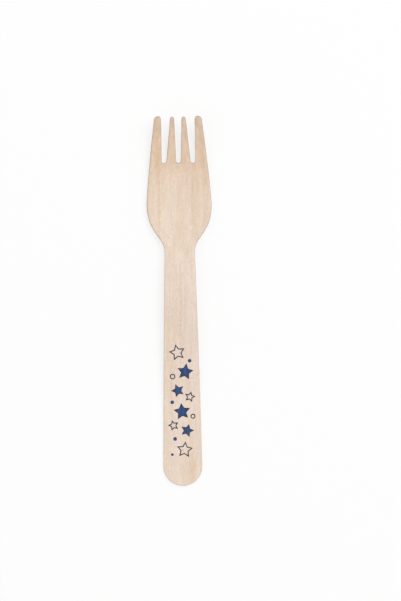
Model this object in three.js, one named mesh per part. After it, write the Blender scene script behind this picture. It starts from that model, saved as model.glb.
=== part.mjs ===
// Disposable wooden fork: one blank die-cut from birch veneer, its arrises tumbled round,
// then pressed between hot dies into a fork with an arched neck, a shallow scoop and rising tines.
// Millimetres, +Z up, tines towards +Y. It lies as it rests: on the flat of its grip and its scoop.
import * as THREE from "three";
import { mergeVertices } from "three/addons/utils/BufferGeometryUtils.js";

// Veneer
const THICKNESS = 1.8;
const EDGE_RADIUS = 0.4;

// Plan of the die-cut blank. Distances "to tips" run back along the fork from the ends of the outer tines.
const LENGTH = 160;
const GRIP_WIDTH = 16.85;
const NECK_WIDTH = 13.1;
const NECK_TO_TIPS = 59.1;
const WAIST_WIDTH = 17.75;
const WAIST_TO_TIPS = 52.3;
const HEAD_WIDTH = 27.95;
const HEAD_TO_TIPS = 37.8;
const TINE_TIP_SPAN = 20.2;

// The three slots between the four tines, each from its round root to the tips
const TINE_LENGTH = 18.9;
const CENTRE_SLOT = { rootMiddle: 0, rootWidth: 2.05, tipMiddle: 0, tipWidth: 3.2 };
const SIDE_SLOT = { rootMiddle: 6.25, rootWidth: 2.2, tipMiddle: 5.3, tipWidth: 4.0 };
const INNER_TINE_SETBACK = 0.3;
const OUTER_TIP_APEX = 0.6;
const INNER_TIP_APEX = 0.5;

// Pressed form: heights of the veneer's middle above its middle in the grip
const GRIP_FLAT_LENGTH = 18;
const ARCH_TO_TIPS = 76;
const ARCH_HEIGHT = 4.2;
const SCOOP_TO_TIPS = 35;
const SCOOP_SAG = 1.6;
const TIP_RISE = 7.2;

// Facets
const TINE_COLUMNS = 6;
const SLOT_COLUMNS = 6;
const END_ROWS = 4;
const HANDLE_ROWS = 13;
const SHOULDER_ROWS = 13;
const HEAD_ROWS = 4;
const ROOT_ROWS = 3;
const TINE_ROWS = 8;
const RIM_STEPS = 3;
const CURVE_STEPS = 30;
const ROW_MARGIN = 4;
const SLOPE_STEP = 0.01;
const WELD_DISTANCE = 1e-3;

// Stations along the fork, from the end of the grip
const GRIP_RADIUS = GRIP_WIDTH / 2;
const ARCH_AT = LENGTH - ARCH_TO_TIPS;
const NECK_AT = LENGTH - NECK_TO_TIPS;
const WAIST_AT = LENGTH - WAIST_TO_TIPS;
const HEAD_WIDEST_AT = LENGTH - HEAD_TO_TIPS;
const SCOOP_AT = LENGTH - SCOOP_TO_TIPS;
const SLOT_ROOT_AT = LENGTH - TINE_LENGTH;

const { lerp, smoothstep, clamp, degToRad } = THREE.MathUtils;
const range = (count) => Array.from({ length: count + 1 }, (_, i) => i / count);

// Knots of the blank's side, from the round grip end up to the tine tips. The edge leans from the fork's axis
// by lean degrees, outwards as it goes up if positive, and pull is its reach on that line before and after.
const SIDE_KNOTS = [
  { half: GRIP_RADIUS, at: GRIP_RADIUS, lean: -0.8, pull: [0, 30] },
  { half: NECK_WIDTH / 2, at: NECK_AT, lean: -1.6, pull: [30, 3.4] },
  { half: WAIST_WIDTH / 2, at: WAIST_AT, lean: 35.6, pull: [2.4, 5.3] },
  { half: HEAD_WIDTH / 2, at: HEAD_WIDEST_AT, lean: 0, pull: [7, 4.4] },
  { half: TINE_TIP_SPAN / 2, at: LENGTH, lean: -7.7, pull: [14, 0] },
];

// The blank's right-hand side as points of (half-width, station)
function sideOutline() {
  const knotPoint = (knot, reach) => {
    const lean = degToRad(knot.lean);
    return new THREE.Vector2(knot.half + reach * Math.sin(lean), knot.at + reach * Math.cos(lean));
  };
  const side = new THREE.CurvePath();
  SIDE_KNOTS.slice(1).forEach((to, i) => {
    const from = SIDE_KNOTS[i];
    side.add(new THREE.CubicBezierCurve(
      knotPoint(from, 0),
      knotPoint(from, from.pull[1]),
      knotPoint(to, -to.pull[0]),
      knotPoint(to, 0),
    ));
  });
  return side.getPoints(CURVE_STEPS);
}

const SIDE = sideOutline();

// Half-width of the blank at a station, less an inset square to the edge
function halfWidth(station, inset) {
  const next = Math.max(1, SIDE.findIndex((p) => p.y >= Math.min(station, LENGTH)));
  const [a, b] = [SIDE[next - 1], SIDE[next]];
  const slope = (b.x - a.x) / (b.y - a.y);
  const share = clamp((station - a.y) / (b.y - a.y), 0, 1);
  return lerp(a.x, b.x, share) - inset * Math.hypot(1, slope);
}

// Edge of a slot at a station: side is -1 or +1, and hand mirrors the side slot to the left
function slotEdge(slot, hand, side, station, inset) {
  const share = (station - SLOT_ROOT_AT) / (LENGTH - SLOT_ROOT_AT);
  const middle = lerp(slot.rootMiddle, slot.tipMiddle, share) * hand;
  return middle + side * (lerp(slot.rootWidth, slot.tipWidth, share) / 2 + inset);
}

// The seven bands across the head, left to right, each by its two edges
function headBands(inset) {
  const left = (v) => -halfWidth(v, inset);
  const right = (v) => halfWidth(v, inset);
  const edge = (slot, hand, side) => (v) => slotEdge(slot, hand, side, v, inset);
  const slots = [
    { slot: SIDE_SLOT, hand: -1 },
    { slot: CENTRE_SLOT, hand: 1 },
    { slot: SIDE_SLOT, hand: 1 },
  ];
  const bands = [];
  let from = left;
  slots.forEach(({ slot, hand }) => {
    bands.push({ isTine: true, from, to: edge(slot, hand, -1) });
    bands.push({ isTine: false, from: edge(slot, hand, -1), to: edge(slot, hand, 1) });
    from = edge(slot, hand, 1);
  });
  bands.push({ isTine: true, from, to: right });
  return bands;
}

// Points across one band at the root line. A slot's points sit on its round bottom.
function bandRoot(band) {
  const [a, b] = [band.from(SLOT_ROOT_AT), band.to(SLOT_ROOT_AT)];
  if (band.isTine) {
    return range(TINE_COLUMNS).map((f) => new THREE.Vector2(lerp(a, b, f), SLOT_ROOT_AT));
  }
  const radius = (b - a) / 2;
  return range(SLOT_COLUMNS).map((f) => {
    const turn = Math.PI * f;
    return new THREE.Vector2((a + b) / 2 - radius * Math.cos(turn), SLOT_ROOT_AT - radius * Math.sin(turn));
  });
}

// Stations of the straight rows between the grip's round end and the slot roots
function bodyStations() {
  const stretch = (from, to, rows) => range(rows).slice(1).map((f) => lerp(from, to, f));
  const first = GRIP_RADIUS + ROW_MARGIN;
  const neck = NECK_AT - ROW_MARGIN;
  const last = SLOT_ROOT_AT - ROW_MARGIN;
  return [
    first,
    ...stretch(first, neck, HANDLE_ROWS),
    ...stretch(neck, HEAD_WIDEST_AT, SHOULDER_ROWS),
    ...stretch(HEAD_WIDEST_AT, last, HEAD_ROWS),
  ];
}

// Rows of points over the grip, neck and head, from the round end up to the slot roots
function bodyRows(bands, inset) {
  const roots = bands.flatMap((band, i) => bandRoot(band).slice(i ? 1 : 0));
  const columns = roots.length - 1;
  const stations = bodyStations();
  const rootHalf = halfWidth(SLOT_ROOT_AT, inset);
  const endRadius = GRIP_RADIUS - inset;
  const arcPoint = (j) => {
    const turn = Math.PI * (j / columns);
    return new THREE.Vector2(-endRadius * Math.cos(turn), GRIP_RADIUS - endRadius * Math.sin(turn));
  };
  const rowPoint = (j, station) => {
    const share = smoothstep(station, GRIP_RADIUS, NECK_AT);
    const across = lerp(arcPoint(j).x / endRadius, roots[j].x / rootHalf, share);
    return new THREE.Vector2(across * halfWidth(station, inset), station);
  };
  const line = (point) => roots.map((_, j) => point(j));
  const firstRow = line((j) => rowPoint(j, stations[0]));
  const lastRow = line((j) => rowPoint(j, stations.at(-1)));
  const endRows = range(END_ROWS).slice(0, -1)
    .map((f) => line((j) => arcPoint(j).lerp(firstRow[j], f)));
  const rootRows = range(ROOT_ROWS).slice(1)
    .map((f) => line((j) => {
      const point = lastRow[j].clone().lerp(roots[j], f);
      const atEdge = j === 0 || j === columns;
      return atEdge ? rowPoint(j, point.y) : point;
    }));
  return [...endRows, ...stations.map((v) => line((j) => rowPoint(j, v))), ...rootRows];
}

// Rows of points over one tine, from the root line to its rounded tip
function tineRows(band, isOuter, apexShare, inset) {
  const top = LENGTH - (isOuter ? 0 : INNER_TINE_SETBACK);
  const [a, b] = [band.from(top), band.to(top)];
  const width = b - a + 2 * inset;
  const radii = [apexShare * width - inset, (1 - apexShare) * width - inset];
  const tip = range(TINE_COLUMNS).map((f) => {
    const radius = radii[f <= 0.5 ? 0 : 1];
    const turn = Math.PI * f;
    const drop = radius * (1 - Math.sin(turn));
    return new THREE.Vector2(a + radii[0] - radius * Math.cos(turn), top - inset - drop);
  });
  return range(TINE_ROWS).map((rise) => range(TINE_COLUMNS).map((f, j) => {
    const station = lerp(SLOT_ROOT_AT, tip[j].y, rise);
    const tipShare = (tip[j].x - a) / (b - a);
    return new THREE.Vector2(lerp(band.from(station), band.to(station), lerp(f, tipShare, rise)), station);
  }));
}

// All the flat face of the blank, as quads of plan points inside its rounded arris
function blankQuads(inset) {
  const bands = headBands(inset);
  const tines = bands.filter((band) => band.isTine);
  const apexShares = [OUTER_TIP_APEX, INNER_TIP_APEX, INNER_TIP_APEX, 1 - OUTER_TIP_APEX];
  const patches = [bodyRows(bands, inset)];
  tines.forEach((band, i) => {
    const isOuter = i === 0 || i === tines.length - 1;
    patches.push(tineRows(band, isOuter, apexShares[i], inset));
  });
  return patches.flatMap((rows) => rows.slice(1).flatMap((upper, i) =>
    upper.slice(1).map((point, j) => [rows[i][j], rows[i][j + 1], point, upper[j]])));
}

// Shares the corners of the quads: returns the plan points and each quad as four indices
function weld(quads) {
  const keys = new Map();
  const points = [];
  const faces = quads.map((quad) => quad.map((p) => {
    const key = `${p.x.toFixed(4)},${p.y.toFixed(4)}`;
    if (!keys.has(key)) {
      keys.set(key, points.length);
      points.push(p);
    }
    return keys.get(key);
  }));
  return { points, faces };
}

// The rim of the blank, as point indices in order round it
function rimLoop(faces) {
  const edges = new Map();
  faces.forEach((face) => face.forEach((a, i) => {
    const b = face[(i + 1) % face.length];
    edges.set(`${a},${b}`, [a, b]);
  }));
  const next = new Map();
  edges.forEach(([a, b]) => {
    if (!edges.has(`${b},${a}`)) next.set(a, b);
  });
  const loop = [next.keys().next().value];
  while (next.get(loop.at(-1)) !== loop[0]) loop.push(next.get(loop.at(-1)));
  return loop;
}

// Height of the pressed veneer's middle along the fork's centre line
function centreHeight(station) {
  const arch = smoothstep(station, GRIP_FLAT_LENGTH, ARCH_AT) - smoothstep(station, ARCH_AT, SCOOP_AT);
  const tine = Math.max(0, station - SCOOP_AT) / (LENGTH - SCOOP_AT);
  return ARCH_HEIGHT * arch + TIP_RISE * tine ** 2;
}

// Height of the pressed veneer's middle: the head is dished across, the grip is flat
function pressedHeight(u, v) {
  const dish = smoothstep(v, ARCH_AT, HEAD_WIDEST_AT) * SCOOP_SAG;
  return centreHeight(v) + dish * (u / (HEAD_WIDTH / 2)) ** 2;
}

// A point of the flat blank, depth above its middle, carried to the pressed fork
function press(u, v, depth) {
  const reach = SLOPE_STEP / 2;
  const slopeU = (pressedHeight(u + reach, v) - pressedHeight(u - reach, v)) / SLOPE_STEP;
  const slopeV = (pressedHeight(u, v + reach) - pressedHeight(u, v - reach)) / SLOPE_STEP;
  const normal = new THREE.Vector3(-slopeU, -slopeV, 1).normalize();
  return new THREE.Vector3(u, v, pressedHeight(u, v)).addScaledVector(normal, depth);
}

// The whole fork as one closed surface: two faces and a rim of two quarter-rounds
function forkGeometry() {
  const { points, faces } = weld(blankQuads(EDGE_RADIUS));
  const loop = rimLoop(faces);
  const half = THICKNESS / 2;
  const triangles = [];
  const addQuad = (a, b, c, d) => triangles.push(a, b, c, a, c, d);
  const facePoint = (i, depth) => press(points[i].x, points[i].y, depth);

  faces.forEach((face) => {
    addQuad(...face.map((i) => facePoint(i, half)));
    addQuad(...[...face].reverse().map((i) => facePoint(i, -half)));
  });

  const outward = loop.map((i, k) => {
    const before = points[loop.at(k - 1)];
    const after = points[loop[(k + 1) % loop.length]];
    return new THREE.Vector2(after.y - before.y, before.x - after.x).normalize();
  });
  const rounds = range(RIM_STEPS).map((f) => (Math.PI / 2) * f);
  const section = [
    ...rounds.map((turn) => [Math.sin(turn), half - EDGE_RADIUS * (1 - Math.cos(turn))]),
    ...rounds.map((turn) => [Math.cos(turn), EDGE_RADIUS * (1 - Math.sin(turn)) - half]),
  ];
  const rings = section.map(([reach, depth]) => loop.map((i, k) => {
    const at = points[i].clone().addScaledVector(outward[k], EDGE_RADIUS * reach);
    return press(at.x, at.y, depth);
  }));
  rings.slice(1).forEach((lower, r) => loop.forEach((_, k) => {
    const next = (k + 1) % loop.length;
    addQuad(rings[r][next], rings[r][k], lower[k], lower[next]);
  }));

  const geometry = new THREE.BufferGeometry().setFromPoints(triangles);
  const welded = mergeVertices(geometry, WELD_DISTANCE);
  welded.computeVertexNormals();
  return welded;
}

// Moves a geometry so that the origin is at the middle of its foot
function standOnOrigin(geometry) {
  geometry.computeBoundingBox();
  const { min, max } = geometry.boundingBox;
  return geometry.translate(-(min.x + max.x) / 2, -(min.y + max.y) / 2, -min.z);
}

const birch = new THREE.MeshStandardMaterial({ color: 0xe7d3be, roughness: 0.72, metalness: 0 });

const fork = new THREE.Mesh(standOnOrigin(forkGeometry()), birch);
fork.name = "fork";

const woodenFork = new THREE.Group();
woodenFork.add(fork);

export default woodenFork;
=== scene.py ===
import bisect
import math
from collections import namedtuple

import bpy
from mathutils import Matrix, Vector, noise


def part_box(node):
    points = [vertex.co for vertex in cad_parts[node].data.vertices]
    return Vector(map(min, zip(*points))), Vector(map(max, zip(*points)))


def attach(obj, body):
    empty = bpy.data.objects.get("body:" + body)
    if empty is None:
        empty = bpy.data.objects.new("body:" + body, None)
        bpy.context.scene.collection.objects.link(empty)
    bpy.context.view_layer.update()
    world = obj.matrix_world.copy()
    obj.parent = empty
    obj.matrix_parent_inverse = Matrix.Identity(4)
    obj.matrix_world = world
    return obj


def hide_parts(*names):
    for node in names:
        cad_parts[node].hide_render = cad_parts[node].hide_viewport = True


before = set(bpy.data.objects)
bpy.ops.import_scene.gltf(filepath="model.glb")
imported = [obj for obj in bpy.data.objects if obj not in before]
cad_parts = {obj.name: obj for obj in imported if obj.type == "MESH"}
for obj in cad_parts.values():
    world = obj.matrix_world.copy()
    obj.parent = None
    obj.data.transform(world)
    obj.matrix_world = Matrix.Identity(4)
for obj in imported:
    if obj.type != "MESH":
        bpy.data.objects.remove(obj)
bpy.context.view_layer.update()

MM = 0.001

# Veneer
THICKNESS = 1.8
HALF_THICKNESS = THICKNESS / 2
EDGE_RADIUS = 0.4

# Plan of the die-cut blank. Distances "to tips" run back along the fork from the ends of the outer tines.
LENGTH = 160.0
GRIP_WIDTH = 16.85
NECK_WIDTH = 13.1
NECK_TO_TIPS = 59.1
WAIST_WIDTH = 17.75
WAIST_TO_TIPS = 52.3
HEAD_WIDTH = 27.95
HEAD_TO_TIPS = 37.8
TINE_TIP_SPAN = 20.2

# The slots between the tines: middle and width at the root, then at the tips
TINE_LENGTH = 18.9
CENTRE_SLOT = (0.0, 2.05, 0.0, 3.2)
SIDE_SLOT = (6.25, 2.2, 5.3, 4.0)

# The tips: how much shorter the inner tines are, and where each tip is highest, as a share of its width
INNER_TINE_SETBACK = 0.3
OUTER_TIP_APEX = 0.6
INNER_TIP_APEX = 0.5

# Pressed form: heights of the veneer's middle above its middle in the grip
GRIP_FLAT_LENGTH = 18.0
ARCH_TO_TIPS = 76.0
ARCH_HEIGHT = 4.2
SCOOP_TO_TIPS = 35.0
SCOOP_SAG = 1.6
TIP_RISE = 7.2

# Pitch of the visual mesh
TINE_COLUMNS = 18
SLOT_COLUMNS = 12
END_ROWS = 10
HANDLE_ROWS = 72
SHOULDER_ROWS = 42
HEAD_ROWS = 14
ROOT_ROWS = 8
TINE_ROWS = 30
RIM_STEPS = 4
WALL_STEPS = 2
CURVE_STEPS = 60

# Margin of the mesh's rows at the grip's round end, before the neck and at the slot roots
ROW_MARGIN = 4.0

# Step over which the press form's slope is taken, and the digits to which points that are one agree
SLOPE_STEP = 0.01
KEY_DIGITS = 4

# Ridges of the grain: height, and counts to a millimetre across and along the fork
GRAIN_RIDGES = (
    (0.018, 0.8, 0.02),
    (0.012, 1.9, 0.06),
)

# Step in the noise that gives the two faces different ridges
SIDE_SHIFT = 7.0

# Waver of the cut edge: its reach, and its counts to a millimetre
EDGE_WAVER = 0.045
EDGE_WAVER_PITCH = 0.45

# Stations along the fork, from the end of the grip
GRIP_RADIUS = GRIP_WIDTH / 2
ARCH_AT = LENGTH - ARCH_TO_TIPS
NECK_AT = LENGTH - NECK_TO_TIPS
WAIST_AT = LENGTH - WAIST_TO_TIPS
HEAD_WIDEST_AT = LENGTH - HEAD_TO_TIPS
SCOOP_AT = LENGTH - SCOOP_TO_TIPS
SLOT_ROOT_AT = LENGTH - TINE_LENGTH

# Knots of the blank's side from the round grip end to the tips: half-width, station, lean from the
# fork's axis in degrees, and the reach along that line before and after the knot
Knot = namedtuple("Knot", ("half_width", "station", "lean", "before", "after"))
SIDE_KNOTS = (
    Knot(GRIP_RADIUS, GRIP_RADIUS, -0.8, 0.0, 30.0),
    Knot(NECK_WIDTH / 2, NECK_AT, -1.6, 30.0, 3.4),
    Knot(WAIST_WIDTH / 2, WAIST_AT, 35.6, 2.4, 5.3),
    Knot(HEAD_WIDTH / 2, HEAD_WIDEST_AT, 0.0, 7.0, 4.4),
    Knot(TINE_TIP_SPAN / 2, LENGTH, -7.7, 14.0, 0.0),
)


def lerp(a, b, share):
    return a + (b - a) * share


def smoothstep(value, low, high):
    t = min(max((value - low) / (high - low), 0.0), 1.0)
    return t * t * (3.0 - 2.0 * t)


def shares(count):
    return [i / count for i in range(count + 1)]


def srgb(red, green, blue):
    """A display colour, 0 to 255, as the linear colour that a shader takes, by the sRGB curve."""

    def linear(level):
        c = level / 255.0
        return c / 12.92 if c <= 0.04045 else ((c + 0.055) / 1.055) ** 2.4

    return (linear(red), linear(green), linear(blue), 1.0)


def side_outline():
    """The blank's right-hand side as (half-width, station) points."""

    def knot_point(knot, reach):
        lean = math.radians(knot.lean)
        return Vector((knot.half_width + reach * math.sin(lean), knot.station + reach * math.cos(lean)))

    points = []
    for start, end in zip(SIDE_KNOTS, SIDE_KNOTS[1:]):
        a = knot_point(start, 0.0)
        b = knot_point(start, start.after)
        c = knot_point(end, -end.before)
        d = knot_point(end, 0.0)
        for t in shares(CURVE_STEPS)[1 if points else 0:]:
            s = 1.0 - t
            points.append(a * s**3 + b * (3 * s * s * t) + c * (3 * s * t * t) + d * t**3)
    return points


SIDE = side_outline()
SIDE_STATIONS = [p.y for p in SIDE]


def half_width(station, inset):
    """Half-width of the blank at a station, less an inset square to the edge."""
    found = bisect.bisect_left(SIDE_STATIONS, min(station, LENGTH))
    upper = min(max(1, found), len(SIDE) - 1)
    a = SIDE[upper - 1]
    b = SIDE[upper]
    slope = (b.x - a.x) / (b.y - a.y)
    share = min(max((station - a.y) / (b.y - a.y), 0.0), 1.0)
    return lerp(a.x, b.x, share) - inset * math.hypot(1.0, slope)


def outer_edge(side, inset):
    """The blank's own edge as a function of station: side is -1 on the left and 1 on the right."""

    def at(station):
        return side * half_width(station, inset)

    return at


def slot_edge(slot, hand, side, inset):
    """The edge of a slot as a function of station: side is -1 or 1, and hand mirrors the slot to the left."""
    root_middle, root_width, tip_middle, tip_width = slot

    def at(station):
        share = (station - SLOT_ROOT_AT) / TINE_LENGTH
        middle = lerp(root_middle, tip_middle, share) * hand
        return middle + side * (lerp(root_width, tip_width, share) / 2 + inset)

    return at


def head_bands(inset):
    """The seven bands across the head, left to right, as (is a tine, left edge, right edge)."""
    bands = []
    left = outer_edge(-1, inset)
    for slot, hand in ((SIDE_SLOT, -1), (CENTRE_SLOT, 1), (SIDE_SLOT, 1)):
        near = slot_edge(slot, hand, -1, inset)
        far = slot_edge(slot, hand, 1, inset)
        bands.append((True, left, near))
        bands.append((False, near, far))
        left = far
    bands.append((True, left, outer_edge(1, inset)))
    return bands


def band_root(band):
    """Points across one band at the root line. A slot's points sit on its round bottom."""
    is_tine, left, right = band
    a = left(SLOT_ROOT_AT)
    b = right(SLOT_ROOT_AT)
    if is_tine:
        return [Vector((lerp(a, b, f), SLOT_ROOT_AT)) for f in shares(TINE_COLUMNS)]
    radius = (b - a) / 2
    return [
        Vector(((a + b) / 2 - radius * math.cos(math.pi * f), SLOT_ROOT_AT - radius * math.sin(math.pi * f)))
        for f in shares(SLOT_COLUMNS)
    ]


def body_stations():
    """Stations of the straight rows between the grip's round end and the slot roots."""
    first = GRIP_RADIUS + ROW_MARGIN
    neck = NECK_AT - ROW_MARGIN
    last = SLOT_ROOT_AT - ROW_MARGIN
    stations = [first]
    for start, end, rows in (
        (first, neck, HANDLE_ROWS),
        (neck, HEAD_WIDEST_AT, SHOULDER_ROWS),
        (HEAD_WIDEST_AT, last, HEAD_ROWS),
    ):
        stations += [lerp(start, end, f) for f in shares(rows)[1:]]
    return stations


def body_rows(bands, inset):
    """Rows of points over the grip, neck and head, from the round end up to the slot roots."""
    roots = []
    for band in bands:
        roots += band_root(band)[1 if roots else 0:]
    columns = len(roots) - 1
    root_half = half_width(SLOT_ROOT_AT, inset)
    end_radius = GRIP_RADIUS - inset

    def arc_point(j):
        turn = math.pi * j / columns
        return Vector((-end_radius * math.cos(turn), GRIP_RADIUS - end_radius * math.sin(turn)))

    def row_point(j, station):
        share = smoothstep(station, GRIP_RADIUS, NECK_AT)
        across = lerp(arc_point(j).x / end_radius, roots[j].x / root_half, share)
        return Vector((across * half_width(station, inset), station))

    def root_point(j, share):
        point = last_row[j].lerp(roots[j], share)
        return row_point(j, point.y) if j in (0, columns) else point

    line = range(columns + 1)
    straight_rows = [[row_point(j, v) for j in line] for v in body_stations()]
    first_row = straight_rows[0]
    last_row = straight_rows[-1]
    end_rows = [[arc_point(j).lerp(first_row[j], f) for j in line] for f in shares(END_ROWS)[:-1]]
    root_rows = [[root_point(j, f) for j in line] for f in shares(ROOT_ROWS)[1:]]
    return end_rows + straight_rows + root_rows


def tine_rows(band, is_outer, apex_share, inset):
    """Rows of points over one tine, from the root line to its rounded tip."""
    _, left, right = band
    top = LENGTH - (0.0 if is_outer else INNER_TINE_SETBACK)
    a = left(top)
    b = right(top)
    width = b - a + 2 * inset
    left_radius = apex_share * width - inset
    right_radius = (1 - apex_share) * width - inset
    tip = []
    for f in shares(TINE_COLUMNS):
        radius = left_radius if f <= 0.5 else right_radius
        drop = radius * (1 - math.sin(math.pi * f))
        tip.append(Vector((a + left_radius - radius * math.cos(math.pi * f), top - inset - drop)))
    rows = []
    for rise in shares(TINE_ROWS):
        row = []
        for j, f in enumerate(shares(TINE_COLUMNS)):
            station = lerp(SLOT_ROOT_AT, tip[j].y, rise)
            across = lerp(f, (tip[j].x - a) / (b - a), rise)
            row.append(Vector((lerp(left(station), right(station), across), station)))
        rows.append(row)
    return rows


def blank(inset):
    """The flat face of the blank inside its rounded arris: plan points, and quads of their indices."""
    bands = head_bands(inset)
    tines = [band for band in bands if band[0]]
    apex_shares = (OUTER_TIP_APEX, INNER_TIP_APEX, INNER_TIP_APEX, 1 - OUTER_TIP_APEX)
    patches = [body_rows(bands, inset)]
    for i, band in enumerate(tines):
        patches.append(tine_rows(band, i in (0, len(tines) - 1), apex_shares[i], inset))
    points = []
    keys = {}

    def index(point):
        key = (round(point.x, KEY_DIGITS), round(point.y, KEY_DIGITS))
        if key not in keys:
            keys[key] = len(points)
            points.append(point)
        return keys[key]

    quads = []
    for rows in patches:
        for lower, upper in zip(rows, rows[1:]):
            for j in range(len(lower) - 1):
                quads.append([index(p) for p in (lower[j], lower[j + 1], upper[j + 1], upper[j])])
    return points, quads


def rim_loop(quads):
    """The rim of the blank, as point indices in order round it."""
    edges = {(quad[i], quad[(i + 1) % 4]) for quad in quads for i in range(4)}
    following = {a: b for a, b in edges if (b, a) not in edges}
    start = min(following)
    loop = [start]
    while following[loop[-1]] != start:
        loop.append(following[loop[-1]])
    return loop


def rim_directions(points, loop):
    """Directions in plan out of the blank, one for each point of its rim."""
    directions = []
    for k in range(len(loop)):
        along = points[loop[(k + 1) % len(loop)]] - points[loop[k - 1]]
        directions.append(Vector((along.y, -along.x)).normalized())
    return directions


def rim_section():
    """Points down the rim as (outward share, depth, way along it), and how many are in its upper half."""
    quarter = [math.pi / 2 * f for f in shares(RIM_STEPS)]
    quarter_length = EDGE_RADIUS * math.pi / 2
    wall_half = HALF_THICKNESS - EDGE_RADIUS
    upper = []
    for t in quarter[1:]:
        upper.append((math.sin(t), HALF_THICKNESS - EDGE_RADIUS * (1 - math.cos(t)), EDGE_RADIUS * t))
    for f in shares(WALL_STEPS)[1:]:
        upper.append((1.0, wall_half * (1 - f), quarter_length + wall_half * f))
    lower = [(reach, -depth, way) for reach, depth, way in reversed(upper[:-1])]
    return upper + lower, len(upper)


def ring_quads(upper, lower):
    """Faces between two closed rings of vertex indices. Walls face outwards with the upper ring first."""
    count = len(upper)
    return [[upper[(k + 1) % count], upper[k], lower[k], lower[(k + 1) % count]] for k in range(count)]


def flipped(faces):
    """The same faces, seen from the other side."""
    return [list(reversed(face)) for face in faces]


def pressed_height(u, v):
    """Height of the pressed veneer's middle: the head is dished across, the grip is flat."""
    arch = smoothstep(v, GRIP_FLAT_LENGTH, ARCH_AT) - smoothstep(v, ARCH_AT, SCOOP_AT)
    tine = max(0.0, v - SCOOP_AT) / (LENGTH - SCOOP_AT)
    dish = smoothstep(v, ARCH_AT, HEAD_WIDEST_AT) * SCOOP_SAG
    return ARCH_HEIGHT * arch + TIP_RISE * tine**2 + dish * (u / (HEAD_WIDTH / 2)) ** 2


def press(u, v, depth):
    """A point of the flat blank, depth above its middle, carried to the pressed fork."""
    reach = SLOPE_STEP / 2
    slope_u = (pressed_height(u + reach, v) - pressed_height(u - reach, v)) / SLOPE_STEP
    slope_v = (pressed_height(u, v + reach) - pressed_height(u, v - reach)) / SLOPE_STEP
    normal = Vector((-slope_u, -slope_v, 1.0)).normalized()
    return Vector((u, v, pressed_height(u, v))) + normal * depth


def grain_relief(u, v, side):
    """Height of the grain's long ridges on a face: side is 1 on top and -1 underneath."""
    relief = 0.0
    for height, across, along in GRAIN_RIDGES:
        relief += height * noise.noise((u * across, v * along, SIDE_SHIFT * side))
    return relief


def veneer_geometry():
    """The whole fork as vertices, faces, each vertex's place on the unrolled blank, and each face's side."""
    points, quads = blank(EDGE_RADIUS)
    count = len(points)
    vertices = []
    unrolled = []
    for side in (1, -1):
        for p in points:
            depth = side * (HALF_THICKNESS + grain_relief(p.x, p.y, side))
            vertices.append(press(p.x, p.y, depth))
            unrolled.append(p)
    faces = quads + flipped([[i + count for i in quad] for quad in quads])
    sides = [1] * len(quads) + [-1] * len(quads)

    loop = rim_loop(quads)
    outward = rim_directions(points, loop)
    section, upper_count = rim_section()
    rings = [loop]
    for reach, depth, way in section:
        rings.append(range(len(vertices), len(vertices) + len(loop)))
        for i, direction in zip(loop, outward):
            p = points[i]
            waver = EDGE_WAVER * noise.noise(Vector((p.x, p.y, depth)) * EDGE_WAVER_PITCH)
            at = p + direction * (reach * (EDGE_RADIUS + waver))
            vertices.append(press(at.x, at.y, depth))
            unrolled.append(p + direction * way)
    rings.append([i + count for i in loop])
    for r, (upper, lower) in enumerate(zip(rings, rings[1:])):
        faces += ring_quads(upper, lower)
        sides += [1 if r < upper_count else -1] * len(loop)
    return vertices, faces, unrolled, sides


def add_mesh(name, vertices, faces):
    """A smooth mesh object in the scene."""
    mesh = bpy.data.meshes.new(name)
    mesh.from_pydata(vertices, [], faces)
    mesh.validate()
    mesh.shade_smooth()
    piece = bpy.data.objects.new(name, mesh)
    bpy.context.scene.collection.objects.link(piece)
    return piece


# The veneer, laid in the CAD solid's box
raw_vertices, veneer_faces, veneer_plan, veneer_sides = veneer_geometry()
box_low, box_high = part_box("fork")
raw_low = [min(p[axis] for p in raw_vertices) for axis in range(3)]
raw_high = [max(p[axis] for p in raw_vertices) for axis in range(3)]
lay = Vector((
    (box_low[0] + box_high[0]) / 2 - MM * (raw_low[0] + raw_high[0]) / 2,
    (box_low[1] + box_high[1]) / 2 - MM * (raw_low[1] + raw_high[1]) / 2,
    box_low[2] - MM * raw_low[2],
))
fork = add_mesh("birch_fork", [p * MM + lay for p in raw_vertices], veneer_faces)

# Map for baking: each half of the veneer has half the map's width, with a margin round it
BAKE_MAP = "OFBake"
BAKE_MARGIN = 0.006
HALF_MAP = 0.5


def add_bake_map(piece, plan, sides):
    """Lays the upper and the lower half of the veneer side by side on the map, as if unrolled."""
    reach = max(abs(p.x) for p in plan)
    low = min(p.y for p in plan)
    high = max(p.y for p in plan)
    layer = piece.data.uv_layers.new(name=BAKE_MAP)
    for face in piece.data.polygons:
        start = 0.0 if sides[face.index] > 0 else HALF_MAP
        for loop_index in face.loop_indices:
            p = plan[piece.data.loops[loop_index].vertex_index]
            across = (p.x + reach) / (2 * reach)
            along = (p.y - low) / (high - low)
            layer.data[loop_index].uv = (
                start + lerp(BAKE_MARGIN, HALF_MAP - BAKE_MARGIN, across),
                lerp(BAKE_MARGIN, 1.0 - BAKE_MARGIN, along),
            )


add_bake_map(fork, veneer_plan, veneer_sides)

# Layer of ink: how far it stands above the wood's face and is sunk below it, and the width of a drawn line
INK_LIFT = 0.02
INK_SINK = 0.04
INK_LINE = 0.45

# Stars: their number of points, and the radius at the waist between two points as a share of the whole
STAR_POINTS = 5
STAR_WAIST = 0.5

# Pitch of the print's mesh
ROUND_STEPS = 28
EDGE_STEPS = 4
FILL_RINGS = 3

# Material slots of the print
FILL_TONE = 0
LINE_TONE = 1

# Kinds of motif that are only a line, with bare wood inside it
OPEN_KINDS = ("open star", "ring")

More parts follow.
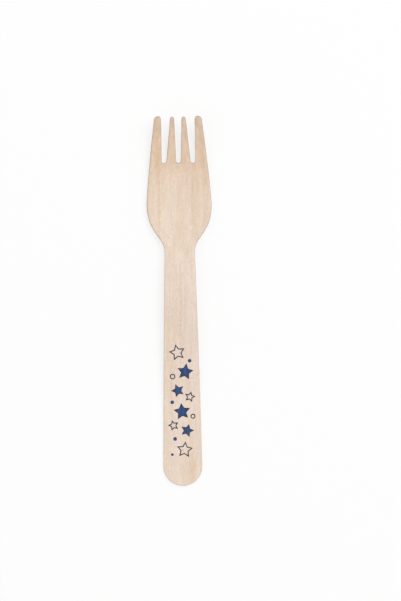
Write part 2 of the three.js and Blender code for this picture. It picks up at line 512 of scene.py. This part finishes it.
# Print on the grip: plain stars, rings and dots, as (kind, across, station, radius, turn in degrees)
PRINT_MOTIFS = (
    ("open star", -1.7, 58.0, 3.7, 12.0),
    ("dot", 3.6, 54.4, 0.8, 0.0),
    ("star", 1.6, 49.6, 3.7, -9.0),
    ("ring", -3.9, 47.6, 1.2, 0.0),
    ("star", -1.7, 41.5, 3.0, 20.0),
    ("open star", 3.5, 38.7, 2.5, -14.0),
    ("dot", -4.2, 36.4, 0.8, 0.0),
    ("star", 0.0, 32.3, 3.8, 6.0),
    ("ring", 4.7, 30.2, 1.1, 0.0),
    ("open star", -3.8, 26.3, 2.5, 16.0),
    ("star", 2.1, 24.0, 3.0, -18.0),
    ("dot", -3.2, 20.4, 0.8, 0.0),
    ("open star", 0.9, 15.6, 3.7, -6.0),
    ("dot", -4.5, 13.6, 0.6, 0.0),
)


def motif_outline(kind, radius, turn):
    """The outer edge of a motif about its own middle, as points in order round it."""
    if "star" not in kind:
        turns = [2 * math.pi * i / ROUND_STEPS for i in range(ROUND_STEPS)]
        return [Vector((radius * math.cos(t), radius * math.sin(t))) for t in turns]
    corners = []
    for i in range(2 * STAR_POINTS):
        angle = math.radians(turn) + math.pi / 2 + math.pi * i / STAR_POINTS
        reach = radius * (STAR_WAIST if i % 2 else 1.0)
        corners.append(Vector((reach * math.cos(angle), reach * math.sin(angle))))
    outline = []
    for a, b in zip(corners, corners[1:] + corners[:1]):
        outline += [a.lerp(b, i / EDGE_STEPS) for i in range(EDGE_STEPS)]
    return outline


def line_share(kind, radius):
    """Where a motif's drawn line ends, as a share of its outline. A dot has no line."""
    if kind == "dot":
        return 1.0
    if kind == "ring":
        return 1 - INK_LINE / radius
    gap = math.pi / STAR_POINTS
    chord = math.hypot(1 - STAR_WAIST * math.cos(gap), STAR_WAIST * math.sin(gap))
    return 1 - INK_LINE / (radius * STAR_WAIST * math.sin(gap) / chord)


def ring_scales(line_end, is_open):
    """The rings of a motif's mesh, outermost first, as shares of its outline."""
    scales = [1.0] if line_end == 1.0 else [1.0, line_end]
    if not is_open:
        scales += [lerp(line_end, 0.0, f) for f in shares(FILL_RINGS)[1:-1]]
    return scales


def motif_geometry(kind, across, station, radius, turn):
    """One motif as a thin closed layer of ink on the pressed grip: vertices, faces, and each face's tone."""
    outline = motif_outline(kind, radius, turn)
    count = len(outline)
    line_end = line_share(kind, radius)
    is_open = kind in OPEN_KINDS
    scales = ring_scales(line_end, is_open)

    # Rings of the top and the bottom of the ink. Where it is filled, a middle point follows the last ring.
    vertices = []
    levels = []
    for depth in (HALF_THICKNESS + INK_LIFT, HALF_THICKNESS - INK_SINK):
        rings = []
        for scale in scales:
            rings.append(range(len(vertices), len(vertices) + count))
            vertices += [press(across + p.x * scale, station + p.y * scale, depth) for p in outline]
        if not is_open:
            vertices.append(press(across, station, depth))
        levels.append(rings)
    top, bottom = levels

    faces = []
    tones = []
    for rings in levels:
        level_faces = []
        for outer, inner, scale in zip(rings, rings[1:], scales):
            level_faces += ring_quads(inner, outer)
            tones += [LINE_TONE if scale > line_end else FILL_TONE] * count
        if not is_open:
            last = rings[-1]
            level_faces += [[last[k], last[(k + 1) % count], last.stop] for k in range(count)]
            tones += [FILL_TONE] * count
        faces += level_faces if rings is top else flipped(level_faces)

    walls = [(top[0], bottom[0])]
    if is_open:
        walls.append((bottom[-1], top[-1]))
    for upper, lower in walls:
        faces += ring_quads(upper, lower)
        tones += [FILL_TONE if kind == "dot" else LINE_TONE] * count
    return vertices, faces, tones


def print_geometry():
    """All the motifs in one mesh: vertices, faces, and each face's tone."""
    vertices = []
    faces = []
    tones = []
    for motif in PRINT_MOTIFS:
        motif_vertices, motif_faces, motif_tones = motif_geometry(*motif)
        start = len(vertices)
        vertices += motif_vertices
        faces += [[start + i for i in face] for face in motif_faces]
        tones += motif_tones
    return vertices, faces, tones


ink_vertices, ink_faces, ink_tones = print_geometry()
grip_print = add_mesh("grip_print", [p * MM + lay for p in ink_vertices], ink_faces)

# Sockets of a Mix node that mixes colours
MIX_FACTOR = 0
MIX_A = 6
MIX_B = 7
MIX_RESULT = 2

WHITE = (1.0, 1.0, 1.0, 1.0)


class Shader:
    """Short names for adding and linking the nodes of one material or world."""

    def __init__(self, owner):
        owner.use_nodes = True
        self.owner = owner
        self.tree = owner.node_tree
        self.tree.nodes.clear()

    def add(self, kind, inputs=(), **settings):
        node = self.tree.nodes.new(kind)
        for key, value in settings.items():
            setattr(node, key, value)
        for key, value in dict(inputs).items():
            self.feed(node.inputs[key], value)
        return node

    def feed(self, socket, value):
        if isinstance(value, bpy.types.NodeSocket):
            self.tree.links.new(value, socket)
        else:
            socket.default_value = value

    def math(self, operation, a, b=0.0):
        return self.add("ShaderNodeMath", {0: a, 1: b}, operation=operation).outputs[0]

    def ramp(self, value, low, high, start=0.0, end=1.0):
        """A smooth step of a value, from start at low to end at high."""
        sockets = {"Value": value, "From Min": low, "From Max": high, "To Min": start, "To Max": end}
        return self.add("ShaderNodeMapRange", sockets, interpolation_type="SMOOTHSTEP").outputs[0]

    def mix(self, factor, a, b, blend="MIX"):
        sockets = {MIX_FACTOR: factor, MIX_A: a, MIX_B: b}
        return self.add("ShaderNodeMix", sockets, data_type="RGBA", blend_type=blend).outputs[MIX_RESULT]

    def scaled(self, vector, per_mm, shift=(0.0, 0.0, 0.0)):
        """A place in metres as counts of a pattern: per_mm is the counts in a millimetre along X, Y and Z."""
        scale = [count / MM for count in per_mm]
        return self.add("ShaderNodeMapping", {"Vector": vector, "Scale": scale, "Location": shift}).outputs[0]

    def grain(self, vector, across, along):
        """A place as counts of a pattern of the grain, which runs along the fork."""
        return self.scaled(vector, (across, along, across))

    def noise(self, vector, detail):
        return self.add("ShaderNodeTexNoise", {"Vector": vector, "Scale": 1.0, "Detail": detail}).outputs[0]

    def grain_noise(self, vector, across, along, detail):
        return self.noise(self.grain(vector, across, along), detail)

    def spot(self, vector, centre, reach):
        """A soft oval, 1 at its centre and 0 at its edge: centre and reach are X and Y in millimetres."""
        per_mm = (1 / reach[0], 1 / reach[1], 0.0)
        shift = (-centre[0] / reach[0], -centre[1] / reach[1], 0.0)
        place = self.scaled(vector, per_mm, shift)
        oval = self.add("ShaderNodeTexGradient", {"Vector": place}, gradient_type="SPHERICAL").outputs["Fac"]
        return self.ramp(oval, 0.0, 1.0)

    def seen(self):
        """1 for rays from the camera, straight or by way of gloss or glass, and 0 for other light."""
        rays = self.add("ShaderNodeLightPath").outputs
        passed_on = self.math("MAXIMUM", rays["Is Glossy Ray"], rays["Is Transmission Ray"])
        return self.math("MAXIMUM", rays["Is Camera Ray"], passed_on)


# Birch: its colours
PALE_WOOD = srgb(237, 218, 204)
WARM_WOOD = srgb(232, 211, 191)
STREAK_WOOD = srgb(220, 192, 156)
FLECK_WOOD = srgb(178, 140, 102)
# Cut edges: raw wood, darker and greyer in part as painted edge shade
WALL_WOOD_AND_SHADE = srgb(204, 191, 176)
END_GRAIN = srgb(178, 162, 145)

# Tints that come in along the fork, each between two places on Y in millimetres: head; tines, toasted and
# darkened further as painted shade of their rise; painted shade at the tips
TINTS_AND_PAINTED_SHADE = (
    ((0.976, 0.967, 0.935, 1.0), 4.0, 36.0),
    ((0.921, 0.824, 0.72, 1.0), 44.0, 68.0),
    ((0.925, 0.945, 0.965, 1.0), 62.0, 79.0),
)

# The tints and painted shade are uneven: low and high value of the clouds, and the share of a tint at each
UNEVEN_TINT = (0.30, 0.70, 0.65, 1.0)

# Patterns of the grain: counts to a millimetre across and along it, and levels of detail
GRAIN_NOISES = {
    "band": (0.30, 0.006, 2.0),
    "line": (1.1, 0.018, 2.0),
    "hair": (4.5, 0.09, 3.0),
    "pore": (3.2, 0.4, 1.0),
    "check": (0.9, 0.03, 1.0),
    "cloud": (0.45, 0.14, 2.0),
    "speck": (1.4, 0.8, 2.0),
}

# The mottle's values are of the same kind, but it doesn't sway with the grain
MOTTLE_NOISE = (0.05, 0.06, 2.0)

# Middle value of a noise
NOISE_MIDDLE = 0.5

# Sway of the grain from side to side: its noise, and its reach in millimetres
SWAY_NOISE = (0.03, 0.018, 1.0)
SWAY_MM = 1.6

# Between which values of the bands the wood goes from pale to warm
BAND_RANGE = (0.30, 0.70)

# How far each pattern shades the wood: low and high value of the pattern, and the shade at each
GRAIN_SHADES = (
    ("line", 0.35, 0.70, 1.015, 0.965),
    ("hair", 0.30, 0.75, 1.015, 0.957),
    ("speck", 0.25, 0.75, 1.045, 0.955),
    ("mottle", 0.25, 0.75, 1.015, 0.975),
    ("cloud", 0.30, 0.70, 1.02, 0.98),
    ("pore", 0.64, 0.74, 1.0, 0.90),
)

# Painted shade in the middle of the handle: its middle and reach along X and Y in millimetres, and its shade
PAINTED_SHADE_PLACE = (0.0, -8.0)
PAINTED_SHADE_REACH = (30.0, 34.0)
PAINTED_SHADE_LEVEL = 0.955

# Flecks: cells to a millimetre, where in a cell a fleck fades out, which cells have one, and strength
FLECK_PITCH = (0.62, 0.13)
FLECK_FADE = (0.05, 0.10)
FLECK_CHOICE = (0.55, 0.75)
FLECK_STRENGTH = 0.5

# Fine checks underneath: the normal's Z there, where in the pattern a check fades out, and strength
UNDERNEATH_Z = (-0.5, -0.8)
CHECK_FADE = (0.004, 0.016)
CHECK_STRENGTH = 0.4

# Cut edges, raw wood darkened in part as painted edge shade: the normal's Z on walls and its Y on end grain,
# the end grain's lines in a wall, and strengths
WALL_Z = (0.45, 0.85)
END_Y = (0.45, 0.9)
WALL_LINES = (0.35, 0.7, 0.0, 0.5)
WALL_AND_SHADE_STRENGTH = 0.8
END_STRENGTH = 0.6

# Finish of the wood: roughness by its hair lines, and a bump by those and a share of its broader lines
WOOD_ROUGHNESS = (0.3, 0.7, 0.62, 0.78)
WOOD_BUMP = 0.6
LINE_BUMP_SHARE = 0.8

# Finish of wood and ink alike
BUMP_DEPTH = 0.03 * MM
SPECULAR_LEVEL = 0.3

# Streaks that stand out in the wood: middle X and Y, half width and half length in millimetres, and strength
STREAKS = (
    (-8.9, 43.0, 0.9, 14.0, 0.36),
    (6.3, 41.0, 0.9, 16.0, 0.30),
    (0.1, -8.0, 1.1, 34.0, 0.44),
    (-5.4, -14.0, 2.6, 34.0, 0.20),
    (4.4, -73.0, 2.2, 9.0, 0.45),
    (5.0, 20.0, 1.1, 13.0, 0.26),
    (-4.6, -38.0, 0.9, 34.0, 0.22),
    (0.2, 6.0, 0.5, 24.0, 0.20),
    (0.3, 38.0, 7.0, 26.0, 0.14),
    (-9.4, 66.0, 2.8, 17.0, 0.30),
    (-1.5, -74.0, 9.0, 13.0, 0.14),
)


def grain_patterns(s):
    """The wood's patterns at a place on the piece, shared by the bare wood and the ink over it."""
    place = s.add("ShaderNodeTexCoord").outputs["Object"]
    sway = s.math("SUBTRACT", s.grain_noise(place, *SWAY_NOISE), NOISE_MIDDLE)
    aside = s.add("ShaderNodeCombineXYZ", {"X": s.math("MULTIPLY", sway, SWAY_MM * MM)}).outputs[0]
    swayed = s.add("ShaderNodeVectorMath", {0: place, 1: aside}, operation="ADD").outputs[0]
    cells = s.add("ShaderNodeTexVoronoi", {"Vector": s.grain(swayed, *FLECK_PITCH), "Scale": 1.0}).outputs
    chosen = s.add("ShaderNodeSeparateColor", {"Color": cells["Color"]}).outputs[0]
    fleck_shape = s.ramp(cells["Distance"], *FLECK_FADE, 1.0, 0.0)
    patterns = {name: s.grain_noise(swayed, *values) for name, values in GRAIN_NOISES.items()}
    patterns["place"] = place
    patterns["swayed"] = swayed
    patterns["mottle"] = s.grain_noise(place, *MOTTLE_NOISE)
    patterns["fleck"] = s.math("MULTIPLY", fleck_shape, s.ramp(chosen, *FLECK_CHOICE))
    return patterns


def face_colour(s, g):
    """Colour of the veneer's faces: bands, streaks, shade of the grain, a painted shade in the handle's
    middle, flecks, and tints along the fork, with painted shade on the tines and at the tips.
    """
    colour = s.mix(s.ramp(g["band"], *BAND_RANGE), PALE_WOOD, WARM_WOOD)
    for x, y, width, length, strength in STREAKS:
        spot = s.spot(g["swayed"], (x, y), (width, length))
        colour = s.mix(s.math("MULTIPLY", spot, strength), colour, STREAK_WOOD)

    layers = [s.ramp(g[name], *values) for name, *values in GRAIN_SHADES]
    # Painted shade in the middle of the handle
    layers.append(s.ramp(s.spot(g["place"], PAINTED_SHADE_PLACE, PAINTED_SHADE_REACH), 0.0, 1.0, 1.0, PAINTED_SHADE_LEVEL))
    shade = layers[0]
    for layer in layers[1:]:
        shade = s.math("MULTIPLY", shade, layer)
    grey = s.add("ShaderNodeCombineColor", {0: shade, 1: shade, 2: shade}).outputs[0]
    colour = s.mix(1.0, colour, grey, "MULTIPLY")
    colour = s.mix(s.math("MULTIPLY", g["fleck"], FLECK_STRENGTH), colour, FLECK_WOOD)

    # Tints along the fork, with painted shade on the rising tines and at the tips
    along = s.add("ShaderNodeSeparateXYZ", {"Vector": g["place"]}).outputs["Y"]
    uneven = s.ramp(g["cloud"], *UNEVEN_TINT)
    for tint, start, end in TINTS_AND_PAINTED_SHADE:
        share = s.math("MULTIPLY", uneven, s.ramp(along, start * MM, end * MM))
        colour = s.mix(share, colour, s.mix(1.0, colour, tint, "MULTIPLY"))
    return colour


def edged_colour(s, g, colour):
    """A face's colour with fine checks underneath and, on the cut edges, raw wood darkened in part as painted
    edge shade, told apart by the normal.
    """
    normal = s.add("ShaderNodeNewGeometry").outputs["Normal"]
    facing = s.add("ShaderNodeSeparateXYZ", {"Vector": normal}).outputs
    underneath = s.ramp(facing["Z"], *UNDERNEATH_Z)
    crack = s.math("ABSOLUTE", s.math("SUBTRACT", g["check"], NOISE_MIDDLE))
    check = s.math("MULTIPLY", underneath, s.ramp(crack, *CHECK_FADE, CHECK_STRENGTH, 0.0))
    colour = s.mix(check, colour, FLECK_WOOD)

    # Cut edges: raw wood, darkened in part as painted edge shade
    is_wall = s.ramp(s.math("ABSOLUTE", facing["Z"]), *WALL_Z, 1.0, 0.0)
    is_end = s.math("MULTIPLY", is_wall, s.ramp(s.math("ABSOLUTE", facing["Y"]), *END_Y))
    wall = s.mix(s.ramp(g["hair"], *WALL_LINES), WALL_WOOD_AND_SHADE, END_GRAIN)
    colour = s.mix(s.math("MULTIPLY", is_wall, WALL_AND_SHADE_STRENGTH), colour, wall)
    return s.mix(s.math("MULTIPLY", is_end, END_STRENGTH), colour, END_GRAIN)


def finished(s, colour, roughness, height, bump_strength):
    """The material with its surface: a colour, a roughness, and a bump by a height."""
    bump = s.add("ShaderNodeBump", {"Strength": bump_strength, "Distance": BUMP_DEPTH, "Height": height})
    sockets = {
        "Base Color": colour,
        "Roughness": roughness,
        "Specular IOR Level": SPECULAR_LEVEL,
        "Normal": bump.outputs[0],
    }
    surface = s.add("ShaderNodeBsdfPrincipled", sockets)
    s.add("ShaderNodeOutputMaterial", {"Surface": surface.outputs[0]})
    return s.owner


def birch_material():
    """Bare birch veneer: long grain, streaks and flecks, a painted shade in the handle's middle, toasted and
    with painted shade towards the tips, and raw cut edges, darker in part as painted edge shade.
    """
    s = Shader(bpy.data.materials.new("birch_veneer"))
    g = grain_patterns(s)
    colour = edged_colour(s, g, face_colour(s, g))
    lines = s.math("ADD", g["hair"], s.math("MULTIPLY", g["line"], LINE_BUMP_SHARE))
    height = s.math("SUBTRACT", lines, g["fleck"])
    return finished(s, colour, s.ramp(g["hair"], *WOOD_ROUGHNESS), height, WOOD_BUMP)


# Ink: its tones where it lies thick and where it has sunk into the grain, and where the wood shows through
INKS = (
    ("blue_ink", srgb(34, 62, 111), srgb(50, 81, 131)),
    ("navy_line_ink", srgb(30, 40, 68), srgb(50, 60, 88)),
)
BARE_INK = srgb(150, 156, 170)

# The grain's lines over which ink thins and its hair lines where it is bare, then the finish of the ink
INK_THINS = (0.40, 0.68)
INK_BARES = (0.60, 0.74, 0.0, 0.7)
INK_ROUGHNESS = (0.3, 0.7, 0.5, 0.7)
INK_BUMP = 0.4


def ink_material(name, deep, thin):
    """Ink that has sunk unevenly into the grain."""
    s = Shader(bpy.data.materials.new(name))
    g = grain_patterns(s)
    colour = s.mix(s.ramp(g["line"], *INK_THINS), deep, thin)
    colour = s.mix(s.ramp(g["hair"], *INK_BARES), colour, BARE_INK)
    return finished(s, colour, s.ramp(g["hair"], *INK_ROUGHNESS), g["hair"], INK_BUMP)


fork.data.materials.append(birch_material())
for ink in INKS:
    grip_print.data.materials.append(ink_material(*ink))
for face, tone in zip(grip_print.data.polygons, ink_tones):
    face.material_index = tone
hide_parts("fork")
for piece in (fork, grip_print):
    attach(piece, "root")

# Floor: its size and colour, and the fine tooth of its surface
FLOOR_SIZE = 4.0
FLOOR_COLOUR = (0.95, 0.95, 0.95, 1.0)
TOOTH_PITCH = (0.8, 0.8, 0.8)
TOOTH_DETAIL = 2.0
FLOOR_ROUGHNESS = (0.3, 0.7, 0.88, 0.94)

# Share of pure white in the floor's looks near the fork, and the metres over which it becomes all white
WHITE_NEAR = 0.74
WHITE_FROM = 0.35
WHITE_BY = 1.1


def floor_material():
    """Pale floor that takes the fork's shadow. It looks part white near the fork and all white far off."""
    s = Shader(bpy.data.materials.new("white_floor"))
    place = s.add("ShaderNodeTexCoord").outputs["Object"]
    tooth = s.noise(s.scaled(place, TOOTH_PITCH), TOOTH_DETAIL)
    sockets = {
        "Base Color": FLOOR_COLOUR,
        "Roughness": s.ramp(tooth, *FLOOR_ROUGHNESS),
        "Specular IOR Level": 0.0,
    }
    lit = s.add("ShaderNodeBsdfPrincipled", sockets)
    white = s.add("ShaderNodeEmission", {"Color": WHITE, "Strength": 1.0})
    distance = s.add("ShaderNodeVectorMath", {0: place}, operation="LENGTH").outputs["Value"]
    share = s.math("MULTIPLY", s.seen(), s.ramp(distance, WHITE_FROM, WHITE_BY, WHITE_NEAR, 1.0))
    blend = s.add("ShaderNodeMixShader", {0: share, 1: lit.outputs[0], 2: white.outputs[0]})
    s.add("ShaderNodeOutputMaterial", {"Surface": blend.outputs[0]})
    return s.owner


half_floor = FLOOR_SIZE / 2
floor = add_mesh(
    "floor",
    [(x * half_floor, y * half_floor, 0.0) for x, y in ((-1, -1), (1, -1), (1, 1), (-1, 1))],
    [(0, 1, 2, 3)],
)
floor.data.materials.append(floor_material())

# Light: a soft key from the upper right, a weaker fill from the left, and a pale surround.
# Each lamp has its place and size in metres, and its watts.
LAMPS = (
    ("key", (0.65, 0.6, 1.75), 1.2, 18.4),
    ("fill", (-1.0, -0.6, 1.7), 1.5, 4.1),
)
WORLD_LEVEL = 0.55


def add_lamp(name, place, size, watts):
    """A square lamp that faces the fork."""
    data = bpy.data.lights.new(name, "AREA")
    data.size = size
    data.energy = watts
    lamp = bpy.data.objects.new(name, data)
    lamp.location = place
    lamp.rotation_euler = (-Vector(place)).to_track_quat("-Z", "Y").to_euler()
    bpy.context.scene.collection.objects.link(lamp)


def surround_world():
    """Pale surround that lights the fork at a plain level and looks white."""
    s = Shader(bpy.data.worlds.new("surround"))
    level = s.ramp(s.seen(), 0.0, 1.0, WORLD_LEVEL, 1.0)
    surround = s.add("ShaderNodeBackground", {"Color": WHITE, "Strength": level})
    s.add("ShaderNodeOutputWorld", {"Surface": surround.outputs[0]})
    return s.owner


for lamp_values in LAMPS:
    add_lamp(*lamp_values)
bpy.context.scene.world = surround_world()

# Camera: straight above the fork, which lies left of the frame's middle and leans a little to the left
IMAGE_HEIGHT_PX = 601
FORK_LENGTH_PX = 369.3
FORK_LEFT_PX = 20.0
FORK_DOWN_PX = 0.8
FORK_LEAN_DEG = 0.82
CAMERA_DISTANCE = 1.2
OUTLINE_HEIGHT = 3.0 * MM

metres_per_px = (box_high[1] - box_low[1]) / FORK_LENGTH_PX
camera_data = bpy.data.cameras.new("camera")
camera_data.lens = camera_data.sensor_width * CAMERA_DISTANCE / (IMAGE_HEIGHT_PX * metres_per_px)
camera = bpy.data.objects.new("camera", camera_data)
lean = math.radians(FORK_LEAN_DEG)
right = FORK_LEFT_PX * metres_per_px
up = FORK_DOWN_PX * metres_per_px
camera.location = (
    right * math.cos(lean) + up * math.sin(lean),
    up * math.cos(lean) - right * math.sin(lean),
    CAMERA_DISTANCE + OUTLINE_HEIGHT,
)
camera.rotation_euler = (0.0, 0.0, -lean)
bpy.context.scene.collection.objects.link(camera)
bpy.context.scene.camera = camera
bpy.context.scene.view_settings.view_transform = "Standard"
